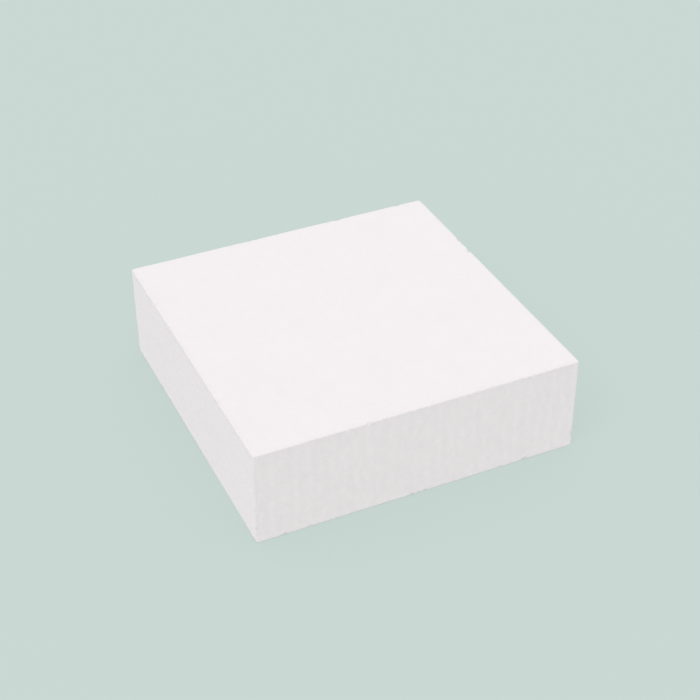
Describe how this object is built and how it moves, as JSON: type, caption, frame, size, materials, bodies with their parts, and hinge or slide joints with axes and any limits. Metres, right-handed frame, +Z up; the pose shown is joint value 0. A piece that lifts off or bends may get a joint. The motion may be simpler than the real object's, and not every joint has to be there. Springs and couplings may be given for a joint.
{
  "type": "gymnastics chalk block",
  "caption": "Flat square block of pressed white magnesium carbonate with softened edges, rubbed on the hands and on grips to keep them dry.",
  "frame": {"origin": "centre of the underside, on the surface that the block lies on", "axes": "+Z up out of the broad top face; X along the two sawn sides, whose outward normals are -Y and +Y; Y along the two smoother sides"},
  "size_m": [0.072, 0.072, 0.022],
  "materials": {
    "chalk": "matte"
  },
  "bodies": {
    "root": {"chalk_block": "chalk"}
  },
  "joints": []
}
